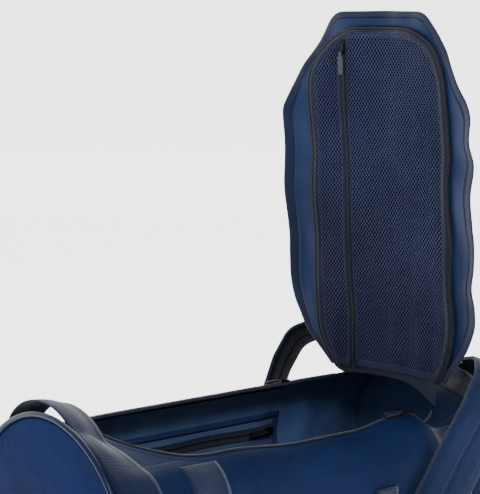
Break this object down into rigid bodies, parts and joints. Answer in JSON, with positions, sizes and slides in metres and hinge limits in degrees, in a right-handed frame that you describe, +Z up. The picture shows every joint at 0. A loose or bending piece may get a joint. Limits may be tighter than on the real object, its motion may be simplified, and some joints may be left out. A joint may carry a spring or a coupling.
{
  "type": "duffel bag",
  "caption": "Soft travel duffel with a full-length lid hinged at one end, storm flap, inner mesh pockets, grab handles and two padded shoulder straps.",
  "frame": {"origin": "centre of the base panel, on the floor", "axes": "+X along the bag to the end where the lid is hinged, -Y to the front wall, +Z up"},
  "size_m": [0.6554, 0.4404, 0.7833],
  "materials": {
    "end_tarp": "glossy coated cloth",
    "body_tarp": "satin coated cloth",
    "flap_tarp": "glossy coated cloth",
    "base_tarp": "satin coated cloth",
    "piping": "satin coated cloth",
    "lining": "matt woven nylon",
    "board": "matt",
    "foam": "matt closed-cell foam",
    "zip_tape": "matt woven tape",
    "zip_coil": "satin nylon",
    "binding": "matt grosgrain",
    "mesh": "open knitted mesh",
    "webbing": "woven polyester webbing",
    "strap_pad": "coated cloth over foam, air mesh beneath",
    "black_webbing": "woven polyester webbing",
    "black_plastic": "matt moulded",
    "grip": "matt padded wrap",
    "slider_metal": "satin enamel",
    "pull_tab": "satin moulded"
  },
  "bodies": {
    "bag": {"back_handle_patches": "webbing", "back_shoulder_strap": "strap_pad", "back_strap_locks": "black_plastic", "back_strap_low_webbing": "black_webbing", "back_strap_top_webbing": "black_webbing", "back_wall": "body_tarp", "back_wall_bands": "webbing", "base_board": "board", "base_panel": "base_tarp", "front_handle_patches": "webbing", "front_shoulder_strap": "strap_pad", "front_strap_locks": "black_plastic", "front_strap_low_webbing": "black_webbing", "front_strap_top_webbing": "black_webbing", "front_wall": "body_tarp", "front_wall_bands": "webbing", "hinge_strip": "binding", "left_end_panel": "end_tarp", "left_end_patches": "webbing", "left_end_piping": "piping", "left_girth_strap": "webbing", "left_top_panel": "body_tarp", "lining": "lining", "right_end_panel": "end_tarp", "right_end_patches": "webbing", "right_end_piping": "piping", "right_girth_strap": "webbing", "right_top_panel": "body_tarp", "rim_facing": "binding", "rim_zip_coil": "zip_coil", "rim_zip_tape": "zip_tape", "wall_pocket_binding": "binding", "wall_pocket_lower_mesh": "mesh", "wall_pocket_upper_mesh": "mesh", "wall_pocket_zip": "zip_coil"},
    "lid": {"lid_panel": "body_tarp", "lid_binding": "binding", "storm_flap": "flap_tarp", "lid_foam": "foam", "lid_lining": "lining", "lid_zip_tape": "zip_tape", "lid_zip_coil": "zip_coil", "lid_mesh_edging": "binding", "lid_mesh_main": "mesh", "lid_mesh_side": "mesh", "lid_pocket_zip": "zip_coil"},
    "front_slider": {"front_slider": "slider_metal"},
    "back_slider": {"back_slider": "slider_metal"},
    "front_slider_pull": {"front_slider_pull": "pull_tab"},
    "back_slider_pull": {"back_slider_pull": "pull_tab"},
    "lid_pocket_slider": {"lid_pocket_slider": "slider_metal"},
    "lid_pocket_pull": {"lid_pocket_pull": "pull_tab"},
    "wall_pocket_slider": {"wall_pocket_slider": "slider_metal"},
    "wall_pocket_pull": {"wall_pocket_pull": "pull_tab"},
    "front_handle": {"front_handle": "webbing", "front_handle_grip": "grip"},
    "back_handle": {"back_handle": "webbing", "back_handle_grip": "grip"},
    "left_end_handle": {"left_end_handle": "webbing"},
    "right_end_handle": {"right_end_handle": "webbing"}
  },
  "joints": [
    {"name": "lid_hinge", "type": "hinge", "parent": "bag", "child": "lid", "pos_m": [0.235, 0, 0.279], "axis": [-0.0696, 0.9948, 0.0746], "range_deg": [-86.3, 15]},
    {"name": "front_slider_slide", "type": "slide", "parent": "bag", "child": "front_slider", "axis": [1, 0, 0], "range_m": [-0.3, 0]},
    {"name": "front_pull_swing", "type": "hinge", "parent": "front_slider", "child": "front_slider_pull", "pos_m": [0.1425, -0.1217, 0.26652], "axis": [0, 0.9681, 0.2504], "range_deg": [0, 160]},
    {"name": "back_slider_slide", "type": "slide", "parent": "bag", "child": "back_slider", "axis": [1, 0, 0], "range_m": [-0.3, 0]},
    {"name": "back_pull_swing", "type": "hinge", "parent": "back_slider", "child": "back_slider_pull", "pos_m": [0.1425, 0.1217, 0.26652], "axis": [0, 0.9681, -0.2504], "range_deg": [0, 160]},
    {"name": "lid_pocket_slide", "type": "slide", "parent": "lid", "child": "lid_pocket_slider", "axis": [0.0691, 0.0097, -0.9976], "range_m": [0, 0.4]},
    {"name": "lid_pocket_pull_swing", "type": "hinge", "parent": "lid_pocket_slider", "child": "lid_pocket_pull", "pos_m": [0.18624, 0.05311, 0.72754], "axis": [-0.261, 0.9653, -0.0087], "range_deg": [0, 150]},
    {"name": "wall_pocket_slide", "type": "slide", "parent": "bag", "child": "wall_pocket_slider", "axis": [1, 0, 0], "range_m": [-0.225, 0]},
    {"name": "wall_pocket_pull_swing", "type": "hinge", "parent": "wall_pocket_slider", "child": "wall_pocket_pull", "pos_m": [0.1455, 0.1555, 0.184], "axis": [0, 0, 1], "range_deg": [0, 150]},
    {"name": "front_handle_swing", "type": "hinge", "parent": "bag", "child": "front_handle", "pos_m": [0, -0.1683, 0.186], "axis": [-1, 0, 0], "range_deg": [0, 165]},
    {"name": "back_handle_swing", "type": "hinge", "parent": "bag", "child": "back_handle", "pos_m": [0, 0.1683, 0.186], "axis": [1, 0, 0], "range_deg": [0, 165]},
    {"name": "left_end_handle_swing", "type": "hinge", "parent": "bag", "child": "left_end_handle", "pos_m": [-0.3265, 0, 0.186], "axis": [0, 1, 0], "range_deg": [0, 160]},
    {"name": "right_end_handle_swing", "type": "hinge", "parent": "bag", "child": "right_end_handle", "pos_m": [0.3265, 0, 0.186], "axis": [0, -1, 0], "range_deg": [0, 160]}
  ]
}
